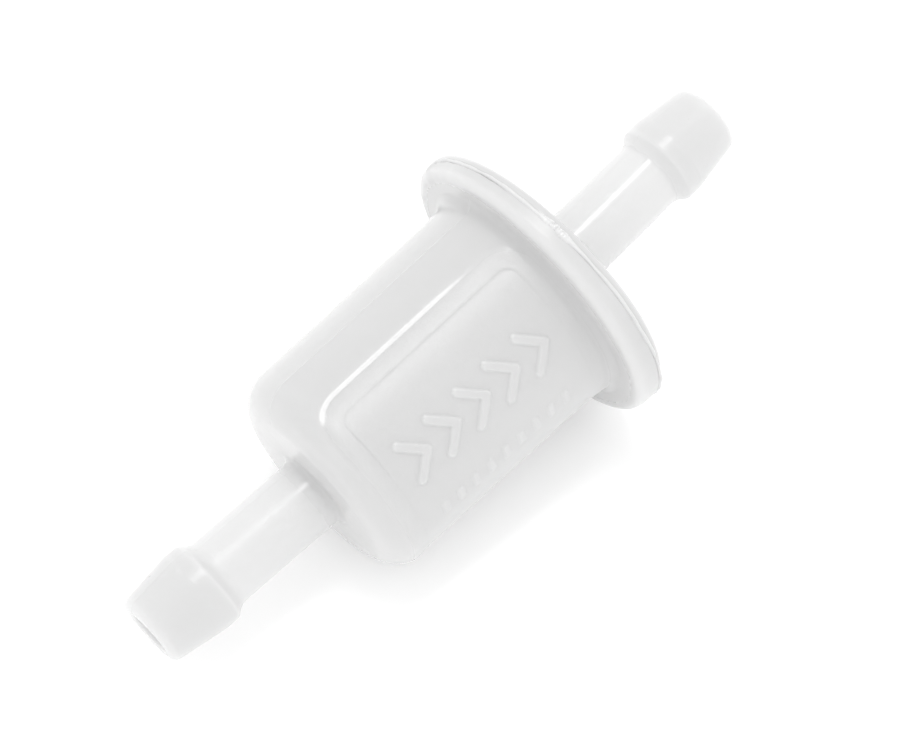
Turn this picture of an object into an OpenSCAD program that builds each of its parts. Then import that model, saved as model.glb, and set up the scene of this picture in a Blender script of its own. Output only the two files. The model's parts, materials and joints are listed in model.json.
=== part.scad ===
// In-line fuel filter for a small engine.
// Two nylon mouldings, a deep cup and a flat cover, are welded together round a flange.
// A pleated paper element stands inside, glued between two caps.
// The flow axis is X: fuel enters at -X, passes the paper from outside to inside and leaves
// at +X. The origin is on the axis, half way along. All lengths are in millimetres, and
// distances along the filter are counted from the inlet's tip.

/* [Overall] */
// Length from the inlet's tip to the outlet's tip
total_len = 61.5; // [60:0.5:66]

/* [Hose ends] */
// Outside diameter of both stems, for a 6 mm hose
stem_d = 6.0; // [5.6:0.1:6.4]
// Diameter of the fuel passage through both stems
bore_d = 3.8; // [3:0.1:4.2]
// Largest diameter of both barbs
barb_d = 7.3; // [6.8:0.05:7.6]
// Diameter of both barbs at the tip
tip_d = 6.0; // [5.6:0.1:6.2]
// Radius of the rounded edge at the tip
tip_round = 0.7; // [0.3:0.1:0.9]
// Distance from the tip to the barb's widest part
barb_cone_len = 4.7; // [4:0.1:5]
// Length of the barb's widest part
barb_land_len = 1.3; // [1:0.1:1.6]
// Length of the slope behind the barb
barb_back_len = 0.8; // [0.3:0.1:0.9]

/* [Barrel] */
// Distance from the inlet's tip to the barrel's end face
barrel_start = 17; // [15:0.5:17.5]
// Diameter of the barrel behind its shoulder
barrel_d_small = 18.8; // [18.4:0.1:19]
// Diameter of the barrel at the flange
barrel_d_large = 19.3; // [19.1:0.1:19.6]
// Radius of the rounded shoulder
shoulder_r = 2.9; // [2:0.1:3.2]
// Wall thickness of the barrel and of its end
wall = 1.4; // [1.2:0.05:1.45]
// Radius of the fillet between a stem and the face that it stands on
stem_fillet = 0.6; // [0.3:0.1:0.9]

/* [Flange] */
// Distance from the inlet's tip to the flange
flange_start = 40.25; // [40:0.25:42]
// Diameter of the cup's half of the flange
cup_flange_d = 25.3; // [24.8:0.1:25.6]
// Thickness of the cup's half of the flange
cup_flange_t = 1.7; // [1.3:0.05:2]
// Radius of the fillet between the barrel and the flange
flange_fillet = 0.95; // [0.5:0.05:1.2]
// Diameter of the cover's half of the flange
cover_flange_d = 24.9; // [24.5:0.1:25]
// Thickness of the cover's half of the flange
cover_flange_t = 0.85; // [0.8:0.05:1.6]
// How far the cover's half of the flange sits off centre, towards +Y
cover_shift = 0.3; // [0:0.05:0.35]
// Diameter of the ring of weld flash between the two halves
seam_d = 25.7; // [25.7:0.1:26.2]
// Thickness of the ring of weld flash
seam_t = 0.2; // [0.15:0.05:0.3]

/* [Label panel] */
// Angle of the panel's middle from straight up, towards -Y
panel_turn = 60; // [0:5:90]
// Distance from the inlet's tip to the panel
panel_start = 20.4; // [20.2:0.1:21]
// Length of the panel along the barrel
panel_len = 17.9; // [14:0.1:17.9]
// Width of the panel, straight across the barrel
panel_w = 15.2; // [10:0.1:15.6]
// Radius of the panel's corners
panel_corner = 1.2; // [0.6:0.1:2]
// Depth of the panel below the barrel
panel_depth = 0.2; // [0.1:0.05:0.3]

/* [Filter element] */
// Number of pleats in the paper
pleats = 22; // [16:1:26]
// Diameter over the pleats
paper_d = 13.7; // [13:0.1:13.8]
// Diameter inside the pleats
paper_inner_d = 7.2; // [7:0.1:7.4]
// Radial thickness of a fold, which sets the paper's thickness
fold_t = 1.0; // [0.8:0.1:1.2]
// Outside diameter of the end caps
cap_d = 14.8; // [14.6:0.1:15]
// Thickness of the end caps
cap_t = 0.8; // [0.6:0.1:0.9]
// Height of the end caps' rims
rim_h = 1.4; // [1:0.1:1.6]
// Rows of holes along the support core
core_rows = 6; // [4:1:6]
// Holes round the support core
core_holes = 4; // [3:1:5]
// Diameter of the holes in the support core
core_hole_d = 1.5; // [1:0.1:1.6]

/* [Hidden] */

$fn = 96;
// Steps in each rounded stretch of an outline
ARC_STEPS = 8;
// Extra length that carries a cut past the face it goes through
CUT = 0.5;
// Gap between two pieces that slide together
SLIDE_GAP = 0.05;

stem_r = stem_d / 2;
bore_r = bore_d / 2;
barb_r = barb_d / 2;
tip_r = tip_d / 2;
barrel_r_small = barrel_d_small / 2;
barrel_r_large = barrel_d_large / 2;
cup_flange_r = cup_flange_d / 2;
cover_flange_r = cover_flange_d / 2;
flange_edge_r = 0.8;
cover_edge_r = 0.7;

// Stations along the axis, from the inlet's tip
cavity_start = barrel_start + wall;
end_rise = 0.15;
cup_face = flange_start + cup_flange_t;
cover_face = cup_face + seam_t;
cover_back = cover_face + cover_flange_t;

// Inside of the cup
cavity_r_small = barrel_r_small - wall;
cavity_r_large = barrel_r_large - wall;
cavity_corner_r = shoulder_r - wall;

// Stand-off ribs on the cup's end, which carry the closed cap
rib_count = 4;
rib_h = 1.8;
rib_t = 1.0;
rib_inner_r = bore_r + 1.2;
rib_outer_r = cavity_r_small - cavity_corner_r - 0.2;

// The cover's ring that centres it in the cup, and its spigot for the element
ring_gap = 0.1;
ring_r = cavity_r_large - ring_gap;
ring_t = 1.0;
ring_h = 1.6;
spigot_r = bore_r + 0.9;

// The element, from the closed cap's outer face to the collar's end
element_start = cavity_start + rib_h;
closed_cap_face = element_start + cap_t;
collar_h = 2.3;
open_cap_back = cover_face - collar_h;
open_cap_face = open_cap_back - cap_t;
spigot_end = open_cap_face + 0.1;
glue_t = 0.7;
glue_bite = 0.4;
paper_start = closed_cap_face + glue_t - glue_bite;
paper_end = open_cap_face - glue_t + glue_bite;
paper_r = paper_d / 2;
paper_inner_r = paper_inner_d / 2;
cap_r = cap_d / 2;
rim_t = 0.4;
well_r = cap_r - rim_t;
collar_r = spigot_r + 0.8;
core_r = paper_inner_r - 0.2;
core_wall = 0.5;
seam_strip_w = 0.9;
seam_strip_h = 0.55;
seam_strip_over = 0.1;
seam_strip_gap = 0.2;

// Colours
NYLON = [0.90, 0.90, 0.89];
NYLON_EDGE = [0.84, 0.84, 0.83];
PAPER = [0.93, 0.91, 0.84];
GLUE = [0.80, 0.78, 0.70];
CAP_WHITE = [0.95, 0.95, 0.94];

// Points along an arc of an outline: centre, radius, first and last angle
function arc(c, r, from, to) =
    [for (i = [0:ARC_STEPS]) let (a = from + (to - from) * i / ARC_STEPS)
        [c[0] + r * cos(a), c[1] + r * sin(a)]];

// Outline of a hose barb and its stem, as [radius, distance from the tip], up to the root
// of the stem at distance root, where a fillet meets the face it stands on
function hose_end(root) = concat(
    [[bore_r, 0]],
    arc([tip_r - tip_round, tip_round], tip_round, -90, 0),
    [
        [barb_r, barb_cone_len],
        [barb_r, barb_cone_len + barb_land_len],
        [stem_r, barb_cone_len + barb_land_len + barb_back_len],
    ],
    arc([stem_r + stem_fillet, root - stem_fillet], stem_fillet, 180, 90)
);

// Lays a turned shape, drawn up Z from the inlet's tip, along the flow axis
module along_axis() {
    rotate([0, 90, 0])
        translate([0, 0, -total_len / 2])
            children();
}

// Turns an outline of [radius, distance] points round the flow axis
module turned(points) {
    rotate_extrude()
        polygon(points);
}

// Ring or disc between two stations
module ring(r_out, r_in, from, to) {
    turned([[r_in, from], [r_out, from], [r_out, to], [r_in, to]]);
}

// Solid bar between two stations
module bar(r, from, to) {
    translate([0, 0, from])
        cylinder(r = r, h = to - from);
}

// Flat rectangle with round corners, centred
module rounded_rect(size, r) {
    for (x = [-1, 1])
        for (y = [-1, 1])
            translate([x * (size[0] / 2 - r), y * (size[1] / 2 - r)])
                circle(r = r);
    square([size[0] - 2 * r, size[1]], center = true);
    square([size[0], size[1] - 2 * r], center = true);
}

// Shallow pocket for the label panel, the same depth below the barrel all over
module panel_pocket() {
    floor_small = barrel_r_small - panel_depth;
    floor_large = barrel_r_large - panel_depth;
    reach = barrel_r_large + CUT;
    // local -X is straight up once the shape lies along the flow axis
    rotate([0, 0, panel_turn])
        difference() {
            rotate([0, -90, 0])
                linear_extrude(height = reach)
                    translate([panel_start + panel_len / 2, 0])
                        rounded_rect([panel_len, panel_w], panel_corner);
            turned([
                [0, barrel_start],
                [floor_small, barrel_start],
                [floor_small, barrel_start + end_rise + shoulder_r],
                [floor_large, flange_start],
                [0, flange_start],
            ]);
        }
}

// Stand-off ribs inside the cup's end
module standoff_ribs() {
    for (i = [0:rib_count - 1])
        rotate([0, 0, i * 360 / rib_count])
            translate([rib_inner_r, -rib_t / 2, cavity_start - CUT])
                cube([rib_outer_r - rib_inner_r, rib_t, rib_h + CUT]);
}

module inlet_cup() {
    shoulder_top = barrel_start + end_rise + shoulder_r;
    color(NYLON)
        along_axis() {
            difference() {
                turned(concat(
                    hose_end(barrel_start),
                    arc([barrel_r_small - shoulder_r, shoulder_top], shoulder_r, -90, 0),
                    arc([barrel_r_large + flange_fillet, flange_start - flange_fillet],
                        flange_fillet, 180, 90),
                    arc([cup_flange_r - flange_edge_r, flange_start + flange_edge_r],
                        flange_edge_r, -90, 0),
                    [[cup_flange_r, cup_face], [cavity_r_large, cup_face]],
                    arc([cavity_r_small - cavity_corner_r, cavity_start + cavity_corner_r],
                        cavity_corner_r, 0, -90),
                    [[bore_r, cavity_start]]
                ));
                panel_pocket();
            }
            standoff_ribs();
        }
}

module outlet_cover() {
    stem_root = total_len - cover_back;
    color(NYLON)
        along_axis() {
            // stem and barb, drawn from the outlet's tip
            translate([0, 0, total_len])
                mirror([0, 0, 1])
                    turned(concat(
                        hose_end(stem_root),
                        [[bore_r, stem_root]]
                    ));
            // the cover's half of the flange, a little off centre
            difference() {
                translate([0, cover_shift, 0])
                    turned(concat(
                        [[0, cover_face], [cover_flange_r, cover_face]],
                        arc([cover_flange_r - cover_edge_r, cover_back - cover_edge_r],
                            cover_edge_r, 0, 90),
                        [[0, cover_back]]
                    ));
                bar(bore_r, cover_face - CUT, cover_back + CUT);
            }
            // centring ring and spigot
            ring(ring_r, ring_r - ring_t, cover_face - seam_t - ring_h, cover_face);
            ring(spigot_r, bore_r, spigot_end, cover_face);
        }
}

module weld_seam() {
    color(NYLON_EDGE)
        along_axis()
            ring(seam_d / 2, cavity_r_large, cup_face, cover_face);
}

// Star with a point for each pleat
module star(r_out, r_in) {
    polygon([for (i = [0:2 * pleats - 1])
        let (a = i * 180 / pleats, r = (i % 2 == 0) ? r_out : r_in)
            [r * cos(a), r * sin(a)]]);
}

// The space that the folded paper fills, from one station to another
module folded_paper(from, to) {
    translate([0, 0, from])
        linear_extrude(height = to - from)
            difference() {
                star(paper_r, paper_inner_r + fold_t);
                star(paper_r - fold_t, paper_inner_r);
            }
}

module filter_paper() {
    color(PAPER)
        along_axis()
            folded_paper(paper_start, paper_end);
}

// Glue over the fold where the paper's two ends meet
module pleat_seam_glue() {
    from = closed_cap_face + rim_h + seam_strip_gap;
    to = open_cap_face - rim_h - seam_strip_gap;
    color(GLUE)
        along_axis()
            difference() {
                translate([paper_r + seam_strip_over - seam_strip_h, -seam_strip_w / 2, from])
                    cube([seam_strip_h, seam_strip_w, to - from]);
                translate([0, 0, from - CUT])
                    linear_extrude(height = to - from + 2 * CUT)
                        star(paper_r, paper_inner_r + fold_t);
            }
}

module support_core() {
    row_pitch = (open_cap_face - closed_cap_face) / (core_rows + 1);
    color(CAP_WHITE)
        along_axis()
            difference() {
                ring(core_r, core_r - core_wall, closed_cap_face, open_cap_face);
                for (row = [1:core_rows])
                    for (i = [0:core_holes - 1])
                        rotate([0, 0, (i + (row % 2) / 2) * 360 / core_holes])
                            translate([0, 0, closed_cap_face + row * row_pitch])
                                rotate([0, 90, 0])
                                    cylinder(d = core_hole_d, h = core_r + CUT);
            }
}

module closed_end_cap() {
    color(CAP_WHITE)
        along_axis() {
            bar(cap_r, element_start, closed_cap_face);
            ring(cap_r, well_r, closed_cap_face, closed_cap_face + rim_h);
        }
}

module open_end_cap() {
    hole_r = spigot_r + SLIDE_GAP;
    color(CAP_WHITE)
        along_axis() {
            ring(cap_r, hole_r, open_cap_face, open_cap_back);
            ring(cap_r, well_r, open_cap_face - rim_h, open_cap_face);
            ring(collar_r, hole_r, open_cap_back, cover_face);
        }
}

// A ring of glue in a cap's well, with the paper's edge set into it
module potting(from, to) {
    difference() {
        ring(well_r, core_r, from, to);
        folded_paper(paper_start, paper_end);
    }
}

module closed_end_glue() {
    color(GLUE)
        along_axis()
            potting(closed_cap_face, closed_cap_face + glue_t);
}

module open_end_glue() {
    color(GLUE)
        along_axis()
            potting(open_cap_face - glue_t, open_cap_face);
}

inlet_cup();
outlet_cover();
weld_seam();
filter_paper();
pleat_seam_glue();
support_core();
closed_end_cap();
open_end_cap();
closed_end_glue();
open_end_glue();
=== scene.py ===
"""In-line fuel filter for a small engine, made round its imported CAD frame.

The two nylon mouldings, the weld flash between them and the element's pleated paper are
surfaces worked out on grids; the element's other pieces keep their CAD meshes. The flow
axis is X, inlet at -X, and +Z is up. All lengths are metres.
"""
import json
import math

import bpy
import numpy as np
from bpy.props import FloatProperty, FloatVectorProperty, IntProperty, PointerProperty
from mathutils import Matrix, Vector


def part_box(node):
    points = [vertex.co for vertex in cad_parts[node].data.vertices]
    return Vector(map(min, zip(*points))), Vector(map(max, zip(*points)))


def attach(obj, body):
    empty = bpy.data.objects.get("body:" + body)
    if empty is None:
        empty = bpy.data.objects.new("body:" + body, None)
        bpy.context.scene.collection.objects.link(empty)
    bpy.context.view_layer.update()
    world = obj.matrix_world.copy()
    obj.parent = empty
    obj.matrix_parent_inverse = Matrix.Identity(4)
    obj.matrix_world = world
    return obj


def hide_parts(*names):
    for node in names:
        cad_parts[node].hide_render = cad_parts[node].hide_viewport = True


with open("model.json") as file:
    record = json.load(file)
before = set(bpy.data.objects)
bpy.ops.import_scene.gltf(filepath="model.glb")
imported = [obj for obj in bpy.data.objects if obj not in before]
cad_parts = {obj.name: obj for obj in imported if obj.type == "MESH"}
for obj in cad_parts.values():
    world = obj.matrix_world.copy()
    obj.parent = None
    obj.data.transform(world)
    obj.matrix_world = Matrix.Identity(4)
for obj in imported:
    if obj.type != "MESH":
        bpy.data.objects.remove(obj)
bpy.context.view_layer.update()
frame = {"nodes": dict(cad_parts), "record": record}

bl_info = {
    "name": "In-line Fuel Filter",
    "version": (1, 0, 0),
    "blender": (4, 5, 0),
    "location": "View3D > Sidebar > Fuel Filter",
    "description": "Makes a small welded in-line fuel filter, its element and a plain stage",
    "category": "Add Mesh",
}

MM = 0.001
TURN = 2 * math.pi
MOUNTS = {m["name"]: m for m in frame["record"]["mounts"]}
CUP_LOW, CUP_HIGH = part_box("inlet_cup")
COVER_LOW, COVER_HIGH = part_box("outlet_cover")
SEAM_LOW, SEAM_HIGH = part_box("weld_seam")

EDGE = 0.15 * MM            # rounding of the small inner edges
BARB_REACH = 7.5 * MM       # how far the barb's own finish reaches from its tip
LUMEN_FADE = 5.0 * MM       # how fast a bore's painted light fades away from its tip
LINE_HALF = 0.07 * MM       # half width of the witness line round the panel's insert
LINE_DEPTH = 0.045 * MM
SEAM_HEIGHT = 0.035 * MM    # height of the mould's parting lines on the barrel
STEM_SEAM_HEIGHT = 0.02 * MM
SWELL = 0.015 * MM          # slow unevenness of the barrel
FLASH_COLUMNS, FLASH_ROWS = 1100, 24
FLASH_WIDTH = 1.8 * MM
PAPER_STATIONS = 40
FLOOR_REACH = 1.5


# ---------------------------------------------------------------- sizes and colours

def size(name, default_mm, description):
    """A length that a user can change, given in millimetres and kept in metres."""
    return FloatProperty(name=name, default=default_mm * MM, description=description,
                         min=0.0, unit="LENGTH", subtype="DISTANCE", precision=5)


def angle(name, degrees, description):
    """An angle that a user can change, given in degrees and kept in radians."""
    return FloatProperty(name=name, default=math.radians(degrees), description=description,
                         unit="ROTATION", subtype="ANGLE")


def colour(name, grey_or_rgb, description):
    """A colour that a user can change."""
    rgb = grey_or_rgb if isinstance(grey_or_rgb, tuple) else (grey_or_rgb,) * 3
    return FloatVectorProperty(name=name, default=rgb, description=description,
                               subtype="COLOR", size=3, min=0.0, max=1.0)


class FilterSizes(bpy.types.PropertyGroup):
    """Sizes of the housing and the element that the frame doesn't state."""

    stem_d: size("Stem diameter", 6.0, "Outside diameter of both hose stems")
    tip_d: size("Tip diameter", 6.0, "Diameter of both barbs at the tip")
    tip_round: size("Tip rounding", 0.7, "Radius of the rounded edge at the tip")
    barb_back: size("Barb back", 0.8, "Length of the slope behind the barb")
    stem_fillet: size("Stem fillet", 0.6, "Fillet between a stem and its face")
    barrel_start: size("Barrel start", 17.0, "Distance from the inlet's tip to the barrel")
    end_rise: size("End rise", 0.15, "How far the barrel's end face slopes back")
    barrel_d_small: size("Barrel diameter, shoulder", 18.8, "Diameter behind the shoulder")
    barrel_d_large: size("Barrel diameter, flange", 19.3, "Diameter at the flange")
    shoulder_r: size("Shoulder radius", 2.9, "Radius of the rounded shoulder")
    wall: size("Wall", 1.4, "Wall thickness of the barrel")
    flange_start: size("Flange start", 40.25, "Distance from the inlet's tip to the flange")
    flange_fillet: size("Flange fillet", 0.95, "Fillet between barrel and flange")
    panel_from: size("Panel start", 18.4, "Distance from the inlet's tip to the panel")
    panel_to: size("Panel end", 40.3, "Distance from the inlet's tip to the panel's end")
    panel_depth: size("Panel depth", 0.2, "Depth of the label panel")
    panel_corner: size("Panel corner", 3.2, "Radius of the panel's corners")
    panel_edge: size("Panel edge", 2.0, "Width of the sloping edge round the panel")
    cover_t: size("Cover rim", 0.85, "Thickness of the cover's half of the flange")
    cup_rim_round: size("Cup rim rounding", 0.8, "Radius of the flange's edge, inlet side")
    cover_rim_round: size("Cover rim rounding", 0.7, "Radius of the flange's edge, outlet side")
    inlet_lean: angle("Inlet lean", 1.7, "How far the inlet stem leans off the axis")
    weld_lean: angle("Weld lean", 2.0, "How far the weld and the outlet stem lean off square")
    lean_turn: angle("Lean turn", -66.7, "Direction that both stems lean towards")
    torn_turn: angle("Torn turn", 13.5, "Angle of the weld's torn stretch from straight up")
    mark_height: size("Mark height", 0.12, "Height of the moulded flow marks")
    panel_turn: angle("Panel turn", 60.0, "Angle of the panel's middle from straight up")
    panel_half: angle("Panel half width", 65.6, "Half of the angle that the panel takes")
    paper_d: size("Paper diameter", 13.7, "Diameter over the pleats")
    paper_inner_d: size("Paper inner diameter", 7.2, "Diameter inside the pleats")
    paper_t: size("Paper thickness", 0.26, "Thickness of the pleated paper")
    pleats: IntProperty(name="Pleats", default=22, min=12, max=40,
                        description="Number of pleats in the paper")


class FilterLooks(bpy.types.PropertyGroup):
    """Colours of the filter and the stage, and the camera's place."""

    nylon: colour("Nylon", 0.60, "Natural nylon of the two mouldings")
    flash: colour("Weld flash", 0.69, "Re-set nylon of the weld")
    paper: colour("Paper", (0.86, 0.83, 0.74), "Filter paper")
    glue: colour("Glue", (0.70, 0.66, 0.55), "Potting and seam glue")
    moulding: colour("Moulding", 0.82, "White plastic of the caps and the core")
    floor: colour("Floor", 0.92, "Plain pale floor")
    sky: FloatProperty(name="Sky", default=1.1, min=0.0, description="Even light all round")
    key: FloatProperty(name="Key light", default=1.0, min=0.0, subtype="POWER",
                       description="Power of the softbox")
    lens: FloatProperty(name="Lens", default=122.5, min=1.0, subtype="DISTANCE_CAMERA",
                        description="Focal length in millimetres")
    camera_azimuth: angle("Camera azimuth", -43.5, "Angle round the filter, from -Y")
    camera_height: angle("Camera elevation", 57.9, "Angle above the floor")
    camera_distance: size("Camera distance", 241.0, "From the camera to the filter's middle")
    camera_across: size("Aim, across", 0.62, "How far the camera looks past the filter's side")
    camera_along: size("Aim, along", 0.35, "How far the camera looks towards the outlet")


# ---------------------------------------------------------------- surfaces

def smooth(t):
    """Soft step: 0 below 0, 1 above 1, and 3t^2 - 2t^3 between."""
    t = np.clip(t, 0.0, 1.0)
    return t * t * (3.0 - 2.0 * t)


def wrapped(a):
    """An angle brought between minus half a turn and half a turn."""
    return np.mod(a + math.pi, TURN) - math.pi


def ripple(x, a, seed, waves=6, x_scale=1.0 / (9 * MM)):
    """A gentle unevenness between about -1 and 1: a sum of sine waves along the axis and
    round it, with whole numbers of waves round the turn so that it closes."""
    rng = np.random.default_rng(seed)
    total = np.zeros(np.broadcast(x, a).shape)
    for k in range(waves):
        around = rng.integers(1, 3 + 2 * k)
        along = rng.uniform(-1.0, 1.0) * TURN * x_scale * (1 + 0.5 * k)
        total += np.sin(around * a + along * x + rng.uniform(0, TURN)) / (1 + k)
    return total / 2.0


def box_distance(u, v, half_u, half_v, corner):
    """Distance from a rectangle with round corners, negative inside."""
    qu = np.abs(u) - (half_u - corner)
    qv = np.abs(v) - (half_v - corner)
    outside = np.hypot(np.maximum(qu, 0.0), np.maximum(qv, 0.0))
    return outside + np.minimum(np.maximum(qu, qv), 0.0) - corner


def rounded_loop(corners):
    """A closed outline through corners, each (x, radius, rounding, steps in the rounding,
    steps to the next corner). A rounding is the arc tangent to both sides: its ends lie
    rounding / tan(half the corner's angle) from the corner."""
    places = np.array([c[:2] for c in corners])
    count = len(corners)
    arcs = []
    for k, (x, r, rounding, steps, _) in enumerate(corners):
        here = places[k]
        back = places[k - 1] - here
        ahead = places[(k + 1) % count] - here
        back = back / np.hypot(*back)
        ahead = ahead / np.hypot(*ahead)
        half = 0.5 * math.acos(np.clip(back @ ahead, -1.0, 1.0))
        if rounding <= 0 or math.cos(half) < 1e-6:
            arcs.append(here[None])
            continue
        reach = rounding / math.tan(half)
        middle = here + (back + ahead) / np.hypot(*(back + ahead)) * rounding / math.sin(half)
        first = here + back * reach - middle
        last = here + ahead * reach - middle
        t = np.linspace(0.0, 1.0, steps + 1)[:, None]
        sweep = math.pi - 2.0 * half
        arc = (np.sin((1 - t) * sweep) * first + np.sin(t * sweep) * last) / math.sin(sweep)
        arcs.append(middle + arc)
    loop = []
    for k, corner in enumerate(corners):
        start, end = arcs[k][-1], arcs[(k + 1) % count][0]
        t = np.linspace(0.0, 1.0, corner[4] + 1)[1:-1, None]
        loop += [arcs[k], start + (end - start) * t]
    return np.concatenate(loop)


def loop_normals(loop):
    """Unit normals of a closed outline that runs clockwise, pointing out of the solid."""
    along = np.roll(loop, -1, axis=0) - np.roll(loop, 1, axis=0)
    normal = np.stack([-along[:, 1], along[:, 0]], axis=1)
    return normal / np.maximum(np.hypot(normal[:, 0], normal[:, 1]), 1e-12)[:, None]


def grid_mesh(name, points, closed_rows=True, closed_columns=True):
    """A mesh of four-sided faces through a grid of points, with its seams closed."""
    rows, columns = points.shape[:2]
    index = np.arange(rows * columns).reshape(rows, columns)
    i = np.arange(rows if closed_rows else rows - 1)[:, None]
    j = np.arange(columns if closed_columns else columns - 1)[None, :]
    down, right = (i + 1) % rows, (j + 1) % columns
    quads = np.stack([index[i, j], index[i, right], index[down, right], index[down, j]], -1)
    quads = quads.reshape(-1, 4).astype(np.int32)
    mesh = bpy.data.meshes.new(name)
    mesh.vertices.add(rows * columns)
    mesh.vertices.foreach_set("co", points.astype(np.float32).ravel())
    mesh.loops.add(quads.size)
    mesh.loops.foreach_set("vertex_index", quads.ravel())
    mesh.polygons.add(len(quads))
    mesh.polygons.foreach_set("loop_start", np.arange(0, quads.size, 4, dtype=np.int32))
    mesh.update(calc_edges=True)
    mesh.shade_smooth()
    if mesh.validate():
        raise RuntimeError(f"the grid of {name} has broken faces")
    return mesh


def add_mask(mesh, name, values):
    """Keeps one number for each point of a mesh, for a material to read."""
    layer = mesh.attributes.new(name, "FLOAT", "POINT")
    layer.data.foreach_set("value", np.clip(values, 0.0, 1.0).astype(np.float32).ravel())


def turned_points(loop, angles, push=0.0, shift=0.0):
    """A closed outline turned round X. Angle 0 is straight up and angles grow towards -Y:
    y = shift - r sin(angle), z = r cos(angle), after each point has moved by push along
    the outline's own normal."""
    normal = loop_normals(loop)
    x = loop[:, :1] + push * normal[:, :1]
    r = loop[:, 1:] + push * normal[:, 1:]
    a = angles[None, :]
    flat = np.zeros(np.broadcast(x, a).shape)
    return np.stack([x + flat, shift - r * np.sin(a), r * np.cos(a)], axis=-1)


def leaned(points, s):
    """The small lean that the weld left. p is a point's distance from the axis in the
    direction of the lean. Past the flange, x drops by p sin(lean) and p grows by
    (x - flange) tan(lean); before the barrel, p grows by (barrel - x) tan(inlet lean)."""
    x = points[..., 0]
    way = np.array([-math.sin(s.lean_turn), math.cos(s.lean_turn)])
    p = points[..., 1:] @ way
    flange = CUP_LOW.x + s.flange_start
    outlet = smooth((x - flange) / (1.5 * MM))
    grow = np.maximum(x - flange, 0.0) * math.tan(s.weld_lean)
    grow = grow + np.maximum(CUP_LOW.x + s.barrel_start - x, 0.0) * math.tan(s.inlet_lean)
    moved = points.copy()
    moved[..., 0] = x - p * math.sin(s.weld_lean) * outlet
    moved[..., 1:] = points[..., 1:] + grow[..., None] * way
    return moved


def stations(length, step):
    """How many steps a stretch needs."""
    return max(1, int(math.ceil(length / step)))


def place(mesh, material, nodes):
    """Puts a finished mesh in the scene as a piece that stands for its CAD node."""
    piece = bpy.data.objects.new(mesh.name, mesh)
    bpy.context.scene.collection.objects.link(piece)
    mesh.materials.clear()
    mesh.materials.append(material)
    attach(piece, "root")
    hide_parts(*nodes)
    return piece


# ---------------------------------------------------------------- materials

class Socket:
    """An output of a node, for sums. Each operator adds one Math node."""

    def __init__(self, bench, output):
        self.bench, self.output = bench, output

    def _sum(self, operation, first, second):
        return self.bench.node("ShaderNodeMath", {"operation": operation}, {0: first, 1: second})

    def __add__(self, other):
        return self._sum("ADD", self, other)

    def __radd__(self, other):
        return self._sum("ADD", other, self)

    def __sub__(self, other):
        return self._sum("SUBTRACT", self, other)

    def __rsub__(self, other):
        return self._sum("SUBTRACT", other, self)

    def __mul__(self, other):
        return self._sum("MULTIPLY", self, other)

    def __rmul__(self, other):
        return self._sum("MULTIPLY", other, self)


class Bench:
    """Where one material's nodes are made."""

    def __init__(self, name):
        self.material = bpy.data.materials.new(name)
        self.material.use_nodes = True
        self.tree = self.material.node_tree
        self.tree.nodes.clear()

    def node(self, kind, settings=None, inputs=None, output=0):
        """Adds a node: its settings first, then the values or links of its sockets."""
        made = self.tree.nodes.new(kind)
        for key, value in (settings or {}).items():
            if key == "stops":
                ramp = made.color_ramp
                while len(ramp.elements) < len(value):
                    ramp.elements.new(0.5)
                for element, (at, grey) in zip(ramp.elements, value):
                    element.position = at
                    element.color = (grey, grey, grey, 1.0)
            else:
                setattr(made, key, value)
        for key, value in (inputs or {}).items():
            if isinstance(value, Socket):
                self.tree.links.new(value.output, made.inputs[key])
            elif isinstance(value, bpy.types.Node):
                self.tree.links.new(value.outputs[0], made.inputs[key])
            else:
                made.inputs[key].default_value = value
        return made if output is None else Socket(self, made.outputs[output])

    def place(self):
        """Where a point lies on the filter, in metres."""
        return self.node("ShaderNodeTexCoord", output="Object")

    def noise(self, scale, detail=3.0, roughness=0.55, stretch=(1.0, 1.0, 1.0)):
        """A cloud pattern of a given number of clouds to the metre."""
        where = self.node("ShaderNodeVectorMath", {"operation": "MULTIPLY"},
                          {0: self.place(), 1: stretch}, output=0)
        return self.node("ShaderNodeTexNoise", {},
                         {"Vector": where, "Scale": scale, "Detail": detail,
                          "Roughness": roughness}, output=0)

    def mask(self, name):
        """A number that the piece carries at each point."""
        return self.node("ShaderNodeAttribute", {"attribute_name": name}, output="Fac")

    def mix(self, factor, first, second):
        """One colour turning into another."""
        node = self.node("ShaderNodeMix", {"data_type": "RGBA"},
                         {0: factor, 6: first, 7: second}, output=None)
        return Socket(self, node.outputs[2])

    def bump(self, height, distance, strength=1.0, under=None):
        """Fine relief for the light, distance metres high."""
        inputs = {"Height": height, "Distance": distance, "Strength": strength}
        if under is not None:
            inputs["Normal"] = under
        return self.node("ShaderNodeBump", {}, inputs)

    def finish(self, inputs):
        """Ends the material in one Principled shader."""
        shader = self.node("ShaderNodeBsdfPrincipled", {}, inputs, output=None)
        self.node("ShaderNodeOutputMaterial", {}, {0: shader}, output=None)
        return self.material

    def blend(self, factor, first, second):
        """Ends the material in one Principled shader turning into another."""
        pair = [self.node("ShaderNodeBsdfPrincipled", {}, i, output=None)
                for i in (first, second)]
        shader = self.node("ShaderNodeMixShader", {}, {0: factor, 1: pair[0], 2: pair[1]},
                           output=None)
        self.node("ShaderNodeOutputMaterial", {}, {0: shader}, output=None)
        return self.material


def rgba(rgb, gain=1.0):
    """A colour with full alpha, made lighter or darker by gain."""
    return tuple(min(1.0, c * gain) for c in rgb) + (1.0,)


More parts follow.
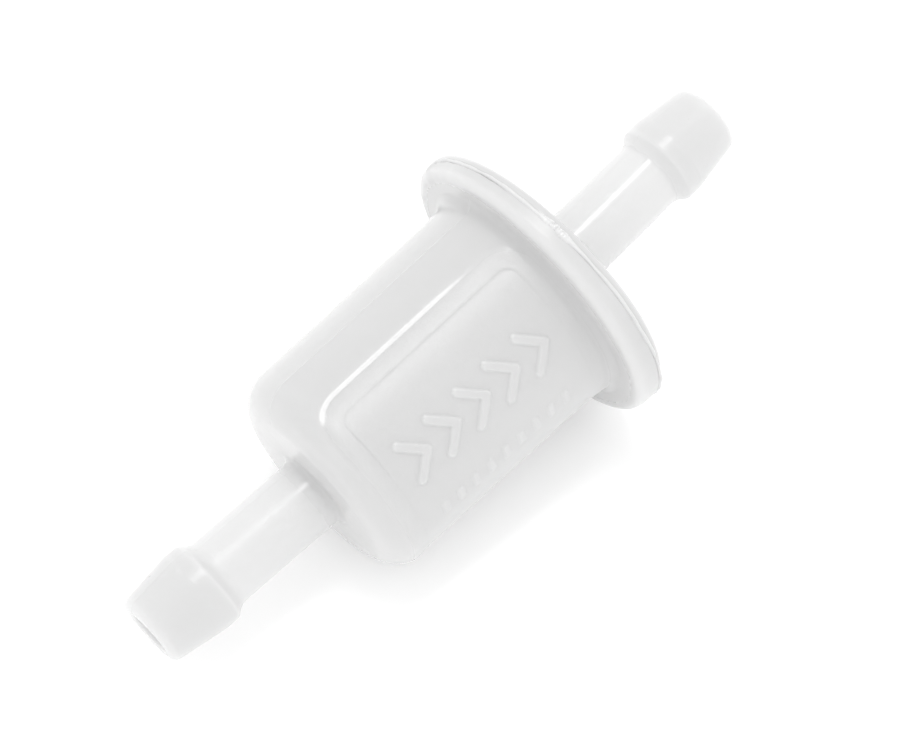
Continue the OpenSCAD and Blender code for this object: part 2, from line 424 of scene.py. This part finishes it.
def milky_nylon(name, rgb):
    """Natural nylon: light goes a little way in, faint clouds from the melt's flow, a satin
    skin, and a duller, finely grained floor where the label panel's insert was. Light and
    shade are painted into its colour: paler where the walls are thin, over the slopes behind
    the barbs and on the flange's inner face, darker on the barbs, and a painted shade along
    the groove round the panel's insert. No light goes in where the two halves touch. The
    bores near the tips give off a little painted light in place of the light that comes
    through their walls."""
    b = Bench(name)
    clouds = b.noise(260.0, 4.0, 0.6, (0.45, 1.0, 1.0))
    grain = b.noise(5200.0, 2.0, 0.5)
    handling = b.noise(900.0, 3.0, 0.6)
    dull = b.mask("dull")
    crevice = b.mask("crevice")
    # painted light and shade: the mask makes thin walls, the slopes behind the barbs and the
    # flange's inner face paler, and the barbs darker
    base = b.mix(b.mask("glow"), rgba(rgb, 0.93), rgba(rgb, 1.22))
    base = b.mix(clouds * 0.4, base, rgba(rgb, 1.1))
    # painted shade darkens the groove round the panel's insert
    base = b.mix(crevice * 0.3, base, rgba(rgb, 0.62))
    rough = 0.14 + 0.10 * handling + 0.18 * dull
    relief = b.bump(grain * (0.2 + 0.6 * dull), 0.012 * MM)
    relief = b.bump(handling, 0.02 * MM, 0.5, relief)
    # painted light: the bores' walls give off a little light in place of light coming through them
    through = b.mix(b.mask("lumen"), (0.0, 0.0, 0.0, 1.0), rgba(rgb, 0.16))
    # the bores' painted light is too weak to be worth treating as a lamp
    b.material.cycles.emission_sampling = "NONE"
    skin = {"Base Color": base, "Roughness": rough, "Normal": relief, "IOR": 1.53,
            "Emission Color": through, "Emission Strength": 1.0}
    deep = {"Subsurface Weight": 1.0, "Subsurface Radius": (1.0, 1.0, 1.0),
            "Subsurface Scale": 1.5 * MM}
    rim = b.mix(clouds, rgba(rgb, 0.94), rgba(rgb, 1.07))
    return b.blend(b.mask("joint"), {**skin, **deep}, {**skin, "Base Color": rim})


def reset_nylon(name, rgb):
    """Nylon that was squeezed out of the weld: glossier, streaked and uneven, with a painted
    highlight that makes the torn stretch paler.
    """
    b = Bench(name)
    streaks = b.noise(1500.0, 4.0, 0.65, (1.0, 0.5, 0.5))
    torn = b.mask("torn")
    base = b.mix(streaks, rgba(rgb, 0.94), rgba(rgb, 1.06))
    # painted highlight: the torn stretch is made paler
    base = b.mix(torn * 0.5, base, rgba(rgb, 1.15))
    rough = 0.3 + 0.2 * streaks - 0.28 * torn
    relief = b.bump(streaks * (0.3 + torn), 0.06 * MM)
    return b.finish({
        "Base Color": base, "Roughness": rough, "Normal": relief, "IOR": 1.53,
    })


def fibrous_paper(name, rgb):
    """Resin-treated filter paper: short crossed fibres, matt."""
    b = Bench(name)
    fibres = b.noise(2600.0, 6.0, 0.7, (0.25, 1.0, 1.0))
    crossed = b.noise(2400.0, 6.0, 0.7, (1.0, 0.3, 0.3))
    mat = fibres * 0.5 + crossed * 0.5
    base = b.mix(mat, rgba(rgb, 0.82), rgba(rgb, 1.12))
    relief = b.bump(mat, 0.06 * MM)
    return b.finish({"Base Color": base, "Roughness": 0.75 + 0.2 * mat, "Normal": relief})


def set_glue(name, rgb):
    """Set glue: smooth, slightly clouded, with small bubbles under the skin."""
    b = Bench(name)
    clouds = b.noise(500.0, 3.0)
    bubbles = b.node("ShaderNodeTexVoronoi", {"feature": "F1"},
                     {"Vector": b.place(), "Scale": 1400.0}, output="Distance")
    base = b.mix(clouds, rgba(rgb, 0.85), rgba(rgb, 1.1))
    relief = b.bump(bubbles, 0.03 * MM, 0.5)
    return b.finish({
        "Base Color": base, "Roughness": 0.2 + 0.25 * clouds, "Normal": relief,
        "Subsurface Weight": 0.4, "Subsurface Radius": (1.0, 0.9, 0.7),
        "Subsurface Scale": 0.5 * MM,
    })


def white_moulding(name, rgb):
    """Plain white moulded plastic with a fine tool grain."""
    b = Bench(name)
    clouds = b.noise(700.0, 3.0)
    grain = b.noise(6000.0, 2.0)
    base = b.mix(clouds, rgba(rgb, 0.94), rgba(rgb, 1.04))
    relief = b.bump(grain, 0.015 * MM)
    return b.finish({"Base Color": base, "Roughness": 0.36 + 0.16 * clouds, "Normal": relief})


def pale_floor(name, rgb):
    """A smooth pale board, softly lit from below as a light table is."""
    b = Bench(name)
    tooth = b.noise(300.0, 4.0, 0.6)
    base = b.mix(tooth, rgba(rgb, 0.995), rgba(rgb, 1.005))
    return b.finish({"Base Color": base, "Roughness": 0.85 + 0.1 * tooth,
                     "Specular IOR Level": 0.0, "Emission Color": (1.0, 1.0, 1.0, 1.0),
                     "Emission Strength": 0.14})


def named_material(name, make, rgb):
    """A material by name, made the first time it is asked for."""
    return bpy.data.materials.get(name) or make(name, tuple(rgb))


# ---------------------------------------------------------------- the housing

def sizes():
    return bpy.context.scene.filter_sizes


def looks():
    return bpy.context.scene.filter_looks


def barb_corners(tip, way, s):
    """The corners of a hose barb from the bore's edge at its tip to the stem behind it.
    way is 1 where the filter lies towards +X of the tip and -1 where it lies towards -X."""
    mount = MOUNTS["inlet_barb" if way > 0 else "outlet_barb"]
    bore_r = MOUNTS["inlet_bore"]["dims"]["r_mm"] * MM
    barb_r = mount["dims"]["r_mm"] * MM
    land = mount["dims"]["length_mm"] * MM
    middle = mount["pos_m"][0]
    front, back = middle - way * land / 2, middle + way * land / 2
    return [
        (tip, bore_r, EDGE, 3, 6),
        (tip, s.tip_d / 2, s.tip_round, 10, 18),
        (front, barb_r, 0.9 * MM, 5, 3),
        (back, barb_r, 0.6 * MM, 6, 3),
        (back + way * s.barb_back, s.stem_d / 2, 1.4 * MM, 6, 24),
    ]


def barb_zone(d):
    """1 on a barb and 0 behind it, d being the distance from its tip."""
    return smooth((BARB_REACH - d) / (0.8 * MM))


def slope_zone(d, at, width):
    """exp(-((at - d) / width)^2): a soft band over the slope behind a barb, where the nylon is
    painted paler against the slope's shade.
    """
    return np.exp(-(((at - d) / width) ** 2))


def lumen_zone(d, radius, bore_r):
    """exp(-d / fade) on the bore's wall and 0 elsewhere: where a bore's painted light lies."""
    return (radius < bore_r + 0.05 * MM) * np.exp(-np.abs(d) / LUMEN_FADE)


def panel_distance(x, a, inset, s):
    """Distance from the label panel's outline on the unrolled barrel, negative inside."""
    inlet = CUP_LOW.x
    middle = inlet + (s.panel_from + s.panel_to) / 2
    half_x = (s.panel_to - s.panel_from) / 2 - inset
    radius = (s.barrel_d_small + s.barrel_d_large) / 4
    half_w = radius * s.panel_half - inset
    across = radius * (a - s.panel_turn)
    corner = max(s.panel_corner - inset, 0.6 * MM)
    return box_distance(x - middle, across, half_x, half_w, corner)


def flow_marks(x, a, s):
    """Height, 0 to 1, of the moulded marks on the panel: a row of five chevrons that
    point with the flow, and under it a row of short plain bars."""
    radius = (s.barrel_d_small + s.barrel_d_large) / 4
    across = radius * (a - s.panel_turn)
    along = x - (CUP_LOW.x + 29.2 * MM)
    stroke, soft = 0.36 * MM, 0.18 * MM
    pitch = 3.1 * MM
    row = across + 2.4 * MM
    nearest = np.clip(np.round(along / pitch), -2, 2)
    u, v = along - nearest * pitch + 0 * row, np.abs(row) + 0 * along
    # distance from the arm that runs from the chevron's tip back to its outer end
    tip, end = np.array([0.95, 0.0]) * MM, np.array([-0.75, 1.75]) * MM
    arm = end - tip
    t = np.clip(((u - tip[0]) * arm[0] + (v - tip[1]) * arm[1]) / (arm @ arm), 0.0, 1.0)
    chevron = np.hypot(u - tip[0] - t * arm[0], v - tip[1] - t * arm[1]) - stroke
    nearest = np.clip(np.round(along / (1.6 * MM)), -4, 4)
    bar = box_distance(along - nearest * 1.6 * MM, across - 3.4 * MM, 0.3 * MM, 0.8 * MM,
                       0.25 * MM)
    return smooth(0.5 - chevron / soft) + 0.6 * smooth(0.5 - bar / soft)


def barrel_angles(s):
    """Angles round the cup: close together over the label panel and at the two mould
    lines, a quarter turn to each side of it, and wider apart elsewhere."""
    edge = s.panel_half + math.radians(3.0)
    panel = np.linspace(-edge, edge, 190)
    rest = np.linspace(edge, TURN - edge, 62)[1:-1]
    line = np.radians([-0.9, -0.45, -0.2, 0.0, 0.2, 0.45, 0.9])
    quarter = math.pi / 2
    rest = rest[(np.abs(rest - quarter) > 0.02) & (np.abs(rest - 3 * quarter) > 0.02)]
    every = np.sort(np.concatenate([panel, rest, quarter + line, 3 * quarter + line]))
    return every + s.panel_turn


def mould_line(a, s, width=0.006):
    """Height, 0 to 1, of the two thin lines where the mould's halves met."""
    off = np.abs(np.mod(a - s.panel_turn, math.pi) - math.pi / 2)
    return np.exp(-(off / width) ** 2)


def make_cup(s, material):
    """The inlet cup: barb, stem, shoulder, barrel and its half of the flange, one closed
    turned surface with the label panel, mould lines and marks pushed into it."""
    tip = CUP_LOW.x
    face = CUP_HIGH.x
    flange_r = CUP_HIGH.z
    barrel, flange = tip + s.barrel_start, tip + s.flange_start
    small, large = s.barrel_d_small / 2, s.barrel_d_large / 2
    bore_r = MOUNTS["inlet_bore"]["dims"]["r_mm"] * MM
    loop = rounded_loop(barb_corners(tip, 1, s) + [
        (barrel, s.stem_d / 2, s.stem_fillet, 6, 8),
        (barrel + s.end_rise, small, s.shoulder_r, 18, stations(19.0 * MM, 0.115 * MM)),
        (flange, large, s.flange_fillet, 9, 5),
        (flange, flange_r, s.cup_rim_round, 9, 6),
        (face, flange_r, 0.12 * MM, 3, 6),
        (face, large - s.wall, 0.1 * MM, 2, 14),
        (barrel + s.wall, small - s.wall, s.shoulder_r - s.wall, 5, 6),
        (barrel + s.wall, bore_r, 0.2 * MM, 3, 12),
    ])
    angles = barrel_angles(s)
    x, a = loop[:, :1], angles[None, :]
    radius = loop[:, 1:]
    outside = np.arange(len(loop))[:, None] <= np.argmax(radius)
    outer = outside * (x < flange) * smooth((radius - small + 2.6 * MM) / (1.6 * MM))
    down = -panel_distance(x, a, 0.0, s) / s.panel_edge
    insert = panel_distance(x, a, s.panel_edge, s)
    crisp = 1 - smooth((a - s.panel_turn + 0.75) / 0.4)
    step = down / 0.25
    floor = 0.25 * (smooth(step) + np.clip(step, 0.0, 1.0)) + 0.5 * np.clip(down, 0.0, 1.0)
    keen = crisp * (1 - 0.75 * smooth((x - tip - 31 * MM) / (7 * MM)))
    floor = keen * floor + (1 - keen) * smooth(down)
    line = np.exp(-(insert / LINE_HALF) ** 2) * (0.6 + 0.4 * ripple(x, 5 * a, 37, 5))
    line = line * (0.2 + 0.8 * crisp)
    marks = flow_marks(x, a, s)
    swell = SWELL * ripple(x, a, 3)
    seam = mould_line(a, s)
    push = outer * (s.mark_height * marks - s.panel_depth * floor - LINE_DEPTH * line + swell
                    + SEAM_HEIGHT * seam * (1 - floor))
    stem = outside * (x < barrel) * (radius > bore_r + 0.4 * MM)
    push = push + stem * (0.008 * MM * ripple(x, a, 5) + STEM_SEAM_HEIGHT * seam)
    rim = smooth((radius - large - 1.0 * MM) / (1.5 * MM)) * (x > flange - 1.0 * MM)
    nicks = np.exp(-((wrapped(a - s.lean_turn) / 0.45) ** 2)) * ripple(x, 23 * a, 43, 6)
    push = push + rim * (0.03 * MM * ripple(x, a, 7, 9, 1 / (3 * MM)) + 0.12 * MM * nicks)
    mesh = grid_mesh("inlet_cup_shell", leaned(turned_points(loop, angles, push), s))
    dull = outer * smooth((down - 0.22) / 0.12)
    thin = 1 - smooth((x - barrel + 2 * MM) / (4 * MM))
    barb = barb_zone(x - tip)
    hose = (0.95 - 0.35 * barb) * smooth((barrel - 0.6 * MM - x) / (1.5 * MM))
    dull = np.maximum(dull, np.maximum(0.8 * rim, hose))
    add_mask(mesh, "dull", dull)
    # painted shade along the groove round the panel's insert
    add_mask(mesh, "crevice", outer * line)
    # painted light and shade for the colour: paler on the stem, over the slope behind the barb and
    # on the flange's inner face, darker on the barb
    solid = smooth((x - flange + 1 * MM) / (1.5 * MM)) * smooth((radius - large) / (1 * MM))
    flat = 0 * a
    slope = slope_zone(x - tip, 6.9 * MM, 0.5 * MM)
    glow = 0.24 + 0.62 * thin - 0.42 * barb + 0.5 * slope + 0.35 * solid
    add_mask(mesh, "glow", glow + flat)
    # where the bore's painted light lies
    add_mask(mesh, "lumen", lumen_zone(x - tip, radius, bore_r) + flat)
    add_mask(mesh, "joint", 1 - smooth((face - x - 0.4 * MM) / (1.2 * MM)) + flat)
    return place(mesh, material, ["inlet_cup"])


def make_cover(s, material):
    """The outlet cover: its half of the flange, set a little off centre, the stem and the
    barb, and inside the ring and the spigot, as one closed turned surface."""
    tip = COVER_HIGH.x
    face = SEAM_HIGH.x
    back = face + s.cover_t
    rim_r = COVER_HIGH.z
    shift = (COVER_HIGH.y + COVER_LOW.y) / 2
    bore_r = MOUNTS["outlet_bore"]["dims"]["r_mm"] * MM
    spigot_r = bore_r + 0.9 * MM
    ring_r = s.barrel_d_large / 2 - s.wall - 0.1 * MM
    ring_end = SEAM_LOW.x - 1.6 * MM
    barb = barb_corners(tip, -1, s)[::-1]
    barb = [corner[:4] + (steps,) for corner, steps in zip(barb, (4, 3, 18, 6, 60))]
    loop = rounded_loop([
        (COVER_LOW.x, bore_r, EDGE, 2, 2),
        (COVER_LOW.x, spigot_r, EDGE, 2, 8),
        (face, spigot_r, EDGE, 2, 8),
        (face, ring_r - 1.0 * MM, EDGE, 2, 5),
        (ring_end, ring_r - 1.0 * MM, 0.12 * MM, 2, 2),
        (ring_end, ring_r, EDGE, 2, 5),
        (face, ring_r, 0.05 * MM, 2, 10),
        (face, rim_r, 0.12 * MM, 3, 3),
        (back, rim_r, s.cover_rim_round, 10, 22),
        (back, s.stem_d / 2, s.stem_fillet, 8, 30),
    ] + barb)
    angles = np.linspace(0, TURN, 240, endpoint=False) + s.panel_turn
    x, a, radius = loop[:, :1], angles[None, :], loop[:, 1:]
    near_rim = smooth((radius - ring_r - 0.2 * MM) / (2.0 * MM))
    outside = (x > face + 0.2 * MM) & (radius > bore_r + 0.4 * MM)
    seam = STEM_SEAM_HEIGHT * mould_line(a, s)
    push = np.where(outside, 0.01 * MM * ripple(x, a, 11) + seam, 0.0)
    push = push + 0.035 * MM * near_rim * ripple(x, a, 13, 9, 1 / (3 * MM))
    points = turned_points(loop, angles, push, shift * near_rim)
    mesh = grid_mesh("outlet_cover_shell", leaned(points, s))
    thin = smooth((x - back) / (3 * MM))
    flat = 0 * a
    barb = barb_zone(tip - x)
    add_mask(mesh, "dull", 0.6 * barb * (radius > bore_r + 0.1 * MM) + flat)
    # where the bore's painted light lies
    add_mask(mesh, "lumen", lumen_zone(tip - x, radius, bore_r) + flat)
    # no painted groove shade on the cover
    add_mask(mesh, "crevice", flat + 0 * x)
    # painted light and shade for the colour: paler on the cover and stem, more so over the slope
    # behind the barb, darker on the barb
    slope = slope_zone(tip - x, 6.6 * MM, 0.45 * MM)
    add_mask(mesh, "glow", 0.6 + 0.4 * thin - 0.5 * barb + 0.5 * slope + flat)
    add_mask(mesh, "joint", 1 - smooth((x - back) / (0.8 * MM)) + flat)
    return place(mesh, material, ["outlet_cover"])


def make_flash(s, material):
    """The weld flash: a ring whose cross-section is a flat bead, (x, r) = (middle +
    thickness sin t, centre + width cos t). Its outer edge wanders and rolls over the rims
    beside it, and over a short stretch it is torn into rough beads."""
    low, high, seam_r = SEAM_LOW.x, SEAM_HIGH.x, SEAM_HIGH.z - 0.08 * MM
    middle, half = (low + high) / 2, (high - low) / 2
    inner = seam_r - FLASH_WIDTH
    t = np.linspace(0, TURN, FLASH_ROWS, endpoint=False)[:, None]
    a = np.linspace(0, TURN, FLASH_COLUMNS, endpoint=False)[None, :]
    level = np.zeros_like(a)
    rough = ripple(level, 5 * a, 17, 8) + 0.7 * ripple(level, 19 * a, 19, 7)
    torn = np.exp(-((wrapped(a - s.torn_turn) / 0.12) ** 2))
    tears = ripple(20 * MM * np.cos(t), 41 * a, 23, 7, 1 / (4 * MM))
    width = (seam_r - inner) / 2 + 0.5 * MM * (0.07 * rough + 0.22 * torn * tears)
    edge = smooth((np.cos(t) + 0.2) / 1.0)
    thick = half + edge * MM * (0.16 + 0.05 * ripple(level, 7 * a, 29, 6) + 0.3 * torn)
    r = inner + width * (1 + np.cos(t))
    lean = 0.06 * MM * ripple(level, 3 * a, 31, 6) * edge
    x = middle + lean + thick * np.sin(t)
    points = np.stack([x + 0 * r, -r * np.sin(a), r * np.cos(a)], axis=-1)
    mesh = grid_mesh("weld_flash", leaned(points, s))
    add_mask(mesh, "torn", torn + 0 * r)
    return place(mesh, material, ["weld_seam"])


# ---------------------------------------------------------------- the element

def make_paper(s, material):
    """The pleated paper: its middle line runs in and out between two radii as a rounded
    zigzag, and the sheet is half a thickness to each side of it, closed at both ends."""
    low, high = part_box("filter_paper")
    count = 18 * s.pleats
    a = np.linspace(0, TURN, count, endpoint=False)
    rng = np.random.default_rng(41)
    wander = sum(np.sin(k * a + rng.uniform(0, TURN)) * 0.02 / k for k in range(1, 6))
    wave = np.arcsin(0.94 * np.cos(s.pleats * a + wander)) / math.asin(0.94)
    outer, inner = s.paper_d / 2 - s.paper_t / 2, s.paper_inner_d / 2 + s.paper_t / 2
    r = (outer + inner) / 2 + (outer - inner) / 2 * wave
    middle = np.stack([-r * np.sin(a), r * np.cos(a)], axis=1)
    along = np.roll(middle, -1, axis=0) - np.roll(middle, 1, axis=0)
    out = np.stack([along[:, 1], -along[:, 0]], axis=1)
    out = -out / np.hypot(out[:, 0], out[:, 1])[:, None]
    xs = np.linspace(low.x, high.x, PAPER_STATIONS)
    station = np.concatenate([xs, xs[::-1]])
    side = np.repeat([1.0, -1.0], PAPER_STATIONS) * s.paper_t / 2
    flat = middle[None] + side[:, None, None] * out[None]
    x = np.broadcast_to(station[:, None, None], flat.shape[:2] + (1,))
    points = np.concatenate([x, flat], axis=2)[::-1]
    return place(grid_mesh("pleated_paper", points), material, ["filter_paper"])


# ---------------------------------------------------------------- operators

class PieceOperator:
    """What all the operators share."""

    bl_options = {"REGISTER", "UNDO"}

    def execute(self, context):
        self.make(sizes(), looks())
        return {"FINISHED"}


class FILTER_OT_cup(PieceOperator, bpy.types.Operator):
    """Make the inlet cup"""

    bl_idname = "fuel_filter.cup"
    bl_label = "Inlet Cup"

    def make(self, s, look):
        make_cup(s, named_material("milky_nylon", milky_nylon, look.nylon))


class FILTER_OT_cover(PieceOperator, bpy.types.Operator):
    """Make the outlet cover"""

    bl_idname = "fuel_filter.cover"
    bl_label = "Outlet Cover"

    def make(self, s, look):
        make_cover(s, named_material("milky_nylon", milky_nylon, look.nylon))


class FILTER_OT_flash(PieceOperator, bpy.types.Operator):
    """Make the ring of weld flash"""

    bl_idname = "fuel_filter.flash"
    bl_label = "Weld Flash"

    def make(self, s, look):
        make_flash(s, named_material("reset_nylon", reset_nylon, look.flash))


class FILTER_OT_element(PieceOperator, bpy.types.Operator):
    """Make the paper and give the caps, core and glue their finishes"""

    bl_idname = "fuel_filter.element"
    bl_label = "Filter Element"

    def make(self, s, look):
        make_paper(s, named_material("fibrous_paper", fibrous_paper, look.paper))
        glue = named_material("set_glue", set_glue, look.glue)
        moulding = named_material("white_moulding", white_moulding, look.moulding)
        for node, material in (
            ("pleat_seam_glue", glue), ("closed_end_glue", glue), ("open_end_glue", glue),
            ("support_core", moulding), ("closed_end_cap", moulding), ("open_end_cap", moulding),
        ):
            mesh = frame["nodes"][node].data
            mesh.materials.clear()
            mesh.materials.append(material)


def floor_tilt(s):
    """The slope of the floor against the flow axis: a loose filter lies on the flange's
    rim and on the barrel's shoulder."""
    drop = SEAM_HIGH.z - s.barrel_d_small / 2
    reach = s.flange_start + 1.6 * MM - s.barrel_start - s.end_rise - s.shoulder_r
    return math.atan2(drop, reach)


class FILTER_OT_stage(PieceOperator, bpy.types.Operator):
    """Make the floor, the light and the camera"""

    bl_idname = "fuel_filter.stage"
    bl_label = "Stage"

    def make(self, s, look):
        lie = Matrix.Rotation(floor_tilt(s), 3, "Y")
        east = lie @ Vector((1, 0, 0))
        contact = Vector(((SEAM_LOW.x + SEAM_HIGH.x) / 2, 0, SEAM_LOW.z - 0.05 * MM))
        self.floor(contact, east, look)
        self.lights(look)
        self.camera(lie, look)

    def floor(self, contact, east, look):
        """A flat board through the contact point: p = contact + u east - v Y."""
        side = np.linspace(-FLOOR_REACH, FLOOR_REACH, 5)
        u, v = np.meshgrid(side, side, indexing="ij")
        points = (np.array(contact)[None, None] + u[..., None] * np.array(east)
                  + v[..., None] * np.array((0.0, -1.0, 0.0)))
        mesh = grid_mesh("floor", points, closed_rows=False, closed_columns=False)
        mesh.materials.append(named_material("pale_floor", pale_floor, look.floor))
        floor = bpy.data.objects.new("floor", mesh)
        bpy.context.scene.collection.objects.link(floor)

    def lights(self, look):
        """Even white light all round and one softbox overhead."""
        world = bpy.data.worlds.new("studio")
        bpy.context.scene.world = world
        world.use_nodes = True
        sky = world.node_tree.nodes["Background"]
        sky.inputs["Color"].default_value = (1.0, 1.0, 1.0, 1.0)
        sky.inputs["Strength"].default_value = look.sky
        self.softbox("key", Vector((0.25, 0.08, 0.95)), 0.7, (0.12, 0.32), look.key)

    def softbox(self, name, way, distance, shape, watts):
        """A rectangular lamp at a distance from the origin, facing it."""
        data = bpy.data.lights.new(name, "AREA")
        data.shape = "RECTANGLE"
        data.size, data.size_y = shape
        data.energy = watts
        lamp = bpy.data.objects.new(name, data)
        bpy.context.scene.collection.objects.link(lamp)
        way = way.normalized()
        across = Vector((0, 1, 0))
        along = across.cross(way).normalized()
        across = way.cross(along)
        turn = Matrix((across, along, way)).transposed()
        lamp.matrix_world = Matrix.Translation(way * distance) @ turn.to_4x4()

    def camera(self, lie, look):
        """The camera, turned with the floor and aimed a little past the origin."""
        scene = bpy.context.scene
        data = bpy.data.cameras.new("camera")
        data.sensor_width = 36.0
        data.lens = look.lens
        data.clip_start, data.clip_end = 0.01, 10.0
        camera = bpy.data.objects.new("camera", data)
        scene.collection.objects.link(camera)
        a, e = look.camera_azimuth, look.camera_height
        back = lie @ Vector((math.sin(a) * math.cos(e), -math.cos(a) * math.cos(e), math.sin(e)))
        right = lie @ Vector((math.cos(a), math.sin(a), 0))
        up = back.cross(right)
        flow = Vector((1, 0, 0))
        across = back.cross(flow).normalized()
        along = across.cross(back)
        turn = Matrix((right, up, back)).transposed()
        spot = back * look.camera_distance - across * look.camera_across + along * look.camera_along
        camera.matrix_world = Matrix.Translation(spot) @ turn.to_4x4()
        scene.camera = camera
        scene.view_settings.view_transform = "Standard"


class FILTER_PT_panel(bpy.types.Panel):
    """Buttons for the filter's pieces"""

    bl_idname = "FILTER_PT_panel"
    bl_label = "In-line Fuel Filter"
    bl_space_type = "VIEW_3D"
    bl_region_type = "UI"
    bl_category = "Fuel Filter"

    def draw(self, context):
        for operator in OPERATORS:
            self.layout.operator(operator.bl_idname)


OPERATORS = (FILTER_OT_cup, FILTER_OT_cover, FILTER_OT_flash, FILTER_OT_element,
             FILTER_OT_stage)
CLASSES = (FilterSizes, FilterLooks) + OPERATORS + (FILTER_PT_panel,)


def register():
    for cls in CLASSES:
        bpy.utils.register_class(cls)
    bpy.types.Scene.filter_sizes = PointerProperty(type=FilterSizes)
    bpy.types.Scene.filter_looks = PointerProperty(type=FilterLooks)


def unregister():
    del bpy.types.Scene.filter_looks
    del bpy.types.Scene.filter_sizes
    for cls in reversed(CLASSES):
        bpy.utils.unregister_class(cls)


def clear_start_scene():
    """Takes away what a new Blender file holds."""
    for name in ("Cube", "Light", "Camera"):
        thing = bpy.data.objects.get(name)
        if thing is not None:
            bpy.data.objects.remove(thing)


def main():
    """Makes everything in order."""
    register()
    clear_start_scene()
    bpy.ops.fuel_filter.cup()
    bpy.ops.fuel_filter.cover()
    bpy.ops.fuel_filter.flash()
    bpy.ops.fuel_filter.element()
    bpy.ops.fuel_filter.stage()
    bpy.context.view_layer.update()


if __name__ == "__main__":
    main()
